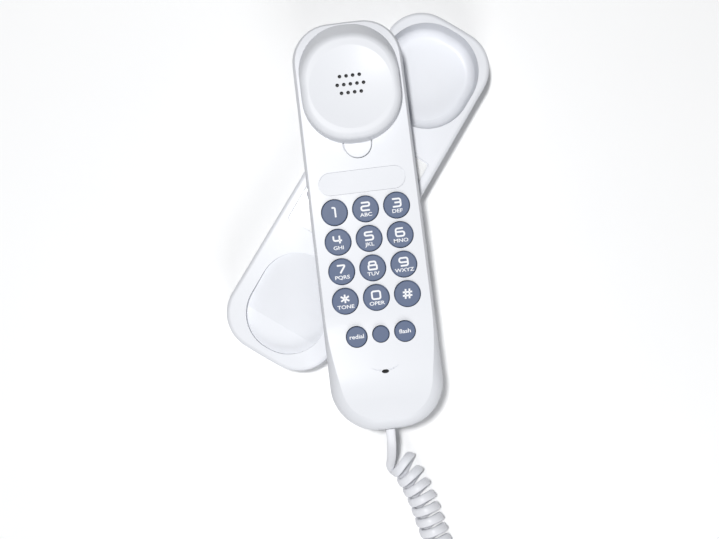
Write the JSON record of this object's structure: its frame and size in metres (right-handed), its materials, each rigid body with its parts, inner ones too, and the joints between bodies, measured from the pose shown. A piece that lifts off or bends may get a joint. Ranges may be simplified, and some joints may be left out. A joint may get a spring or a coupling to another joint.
{
  "type": "telephone",
  "caption": "Slimline push-button wall phone: handset with keypad lying face up across its cradle base, with a curly cord.",
  "frame": {"origin": "midway between the two wall-plate keyholes, on the back plane of the base", "axes": "+Z out of the base's face, +Y along the base toward its earpiece cup, +X to the right seen from the front"},
  "size_m": [0.2261, 0.3598, 0.0613],
  "materials": {
    "white_shell": "glossy cool white moulded ABS",
    "key_blue": "slate blue-grey satin plastic, white printed legends",
    "white_button": "glossy cool white",
    "white_plate": "glossy cool white",
    "rubber_foot": "dark rubber",
    "screw_steel": "zinc-plated steel",
    "ballast_steel": "cold-rolled steel",
    "card_paper": "white card; stands in for paper",
    "clear_window": "clear plastic",
    "jack_plastic": "light grey moulded plastic",
    "contact_gold": "gold-flashed spring wire",
    "lead_insulation": "thin insulated wire",
    "cord_white": "soft satin white PVC",
    "clear_plug": "clear polycarbonate",
    "capsule_dark": "black moulded plastic",
    "capsule_metal": "drawn aluminium can",
    "foam_gasket": "grey foam",
    "felt_black": null,
    "mic_boot_rubber": "black rubber",
    "mat_rubber": "grey silicone rubber",
    "board_green": "green solder mask on glass-epoxy",
    "component_black": "black epoxy and sleeves",
    "switch_black": "black plastic",
    "knob_blue": "slate blue-grey plastic"
  },
  "bodies": {
    "base": {"base_cradle_shell": "white_shell", "base_back_cover": "white_shell", "base_feet": "rubber_foot", "base_screws": "screw_steel", "base_ballast_plate": "ballast_steel", "base_index_card": "card_paper", "base_card_window": "clear_window", "base_handset_jack": "jack_plastic", "base_line_jack": "jack_plastic", "base_jack_contacts": "contact_gold", "base_jumper_leads": "lead_insulation", "cord_tail_handset_end": "cord_white", "cord_curl": "cord_white", "cord_tail_base_end": "cord_white", "cord_plug_base_end": "clear_plug"},
    "handset": {"handset_front_shell": "white_shell", "handset_back_shell": "white_shell", "handset_name_plate": "white_plate", "handset_screws": "screw_steel", "receiver_capsule": "capsule_dark", "receiver_gasket": "foam_gasket", "receiver_leads": "lead_insulation", "microphone_capsule": "capsule_metal", "microphone_felt": "felt_black", "microphone_boot": "mic_boot_rubber", "microphone_leads": "lead_insulation", "keypad_mat": "mat_rubber", "main_board": "board_green", "board_components": "component_black", "board_screws": "screw_steel", "hook_switch": "switch_black", "ringer_sounder": "capsule_dark", "ringer_leads": "lead_insulation", "ringer_switch_body": "switch_black", "tone_switch_body": "switch_black", "handset_jack": "jack_plastic", "handset_jack_contacts": "contact_gold", "cord_plug_handset_end": "clear_plug"},
    "key_1_body": {"key_1": "key_blue"},
    "key_2_body": {"key_2": "key_blue"},
    "key_3_body": {"key_3": "key_blue"},
    "key_4_body": {"key_4": "key_blue"},
    "key_5_body": {"key_5": "key_blue"},
    "key_6_body": {"key_6": "key_blue"},
    "key_7_body": {"key_7": "key_blue"},
    "key_8_body": {"key_8": "key_blue"},
    "key_9_body": {"key_9": "key_blue"},
    "key_star_body": {"key_star": "key_blue"},
    "key_0_body": {"key_0": "key_blue"},
    "key_hash_body": {"key_hash": "key_blue"},
    "key_redial_body": {"key_redial": "key_blue"},
    "key_mute_body": {"key_mute": "key_blue"},
    "key_flash_body": {"key_flash": "key_blue"},
    "hook_body": {"hook_button": "white_button"},
    "ringer_knob_body": {"ringer_switch_knob": "knob_blue"},
    "tone_knob_body": {"tone_switch_knob": "knob_blue"}
  },
  "joints": [
    {"name": "handset_lift", "type": "slide", "parent": "base", "child": "handset", "axis": [0, 0, 1], "range_m": [0, 0.15]},
    {"name": "press_1", "type": "slide", "parent": "handset", "child": "key_1_body", "axis": [0, 0, -1], "range_m": [0, 0.0014], "stiffness_N_per_m": 150, "springref_m": -0.002},
    {"name": "press_2", "type": "slide", "parent": "handset", "child": "key_2_body", "axis": [0, 0, -1], "range_m": [0, 0.0014], "stiffness_N_per_m": 150, "springref_m": -0.002},
    {"name": "press_3", "type": "slide", "parent": "handset", "child": "key_3_body", "axis": [0, 0, -1], "range_m": [0, 0.0014], "stiffness_N_per_m": 150, "springref_m": -0.002},
    {"name": "press_4", "type": "slide", "parent": "handset", "child": "key_4_body", "axis": [0, 0, -1], "range_m": [0, 0.0014], "stiffness_N_per_m": 150, "springref_m": -0.002},
    {"name": "press_5", "type": "slide", "parent": "handset", "child": "key_5_body", "axis": [0, 0, -1], "range_m": [0, 0.0014], "stiffness_N_per_m": 150, "springref_m": -0.002},
    {"name": "press_6", "type": "slide", "parent": "handset", "child": "key_6_body", "axis": [0, 0, -1], "range_m": [0, 0.0014], "stiffness_N_per_m": 150, "springref_m": -0.002},
    {"name": "press_7", "type": "slide", "parent": "handset", "child": "key_7_body", "axis": [0, 0, -1], "range_m": [0, 0.0014], "stiffness_N_per_m": 150, "springref_m": -0.002},
    {"name": "press_8", "type": "slide", "parent": "handset", "child": "key_8_body", "axis": [0, 0, -1], "range_m": [0, 0.0014], "stiffness_N_per_m": 150, "springref_m": -0.002},
    {"name": "press_9", "type": "slide", "parent": "handset", "child": "key_9_body", "axis": [0, 0, -1], "range_m": [0, 0.0014], "stiffness_N_per_m": 150, "springref_m": -0.002},
    {"name": "press_star", "type": "slide", "parent": "handset", "child": "key_star_body", "axis": [0, 0, -1], "range_m": [0, 0.0014], "stiffness_N_per_m": 150, "springref_m": -0.002},
    {"name": "press_0", "type": "slide", "parent": "handset", "child": "key_0_body", "axis": [0, 0, -1], "range_m": [0, 0.0014], "stiffness_N_per_m": 150, "springref_m": -0.002},
    {"name": "press_hash", "type": "slide", "parent": "handset", "child": "key_hash_body", "axis": [0, 0, -1], "range_m": [0, 0.0014], "stiffness_N_per_m": 150, "springref_m": -0.002},
    {"name": "press_redial", "type": "slide", "parent": "handset", "child": "key_redial_body", "axis": [0, 0, -1], "range_m": [0, 0.0014], "stiffness_N_per_m": 150, "springref_m": -0.002},
    {"name": "press_mute", "type": "slide", "parent": "handset", "child": "key_mute_body", "axis": [0, 0, -1], "range_m": [0, 0.0014], "stiffness_N_per_m": 150, "springref_m": -0.002},
    {"name": "press_flash", "type": "slide", "parent": "handset", "child": "key_flash_body", "axis": [0, 0, -1], "range_m": [0, 0.0014], "stiffness_N_per_m": 150, "springref_m": -0.002},
    {"name": "hook_press", "type": "slide", "parent": "handset", "child": "hook_body", "axis": [0, 0, -1], "range_m": [0, 0.0022], "stiffness_N_per_m": 150, "springref_m": -0.002},
    {"name": "ringer_slide", "type": "slide", "parent": "handset", "child": "ringer_knob_body", "axis": [-0.6074, 0.7944, 0], "range_m": [-0.0022, 0.0022]},
    {"name": "tone_slide", "type": "slide", "parent": "handset", "child": "tone_knob_body", "axis": [-0.6074, 0.7944, 0], "range_m": [-0.0022, 0.0022]}
  ]
}
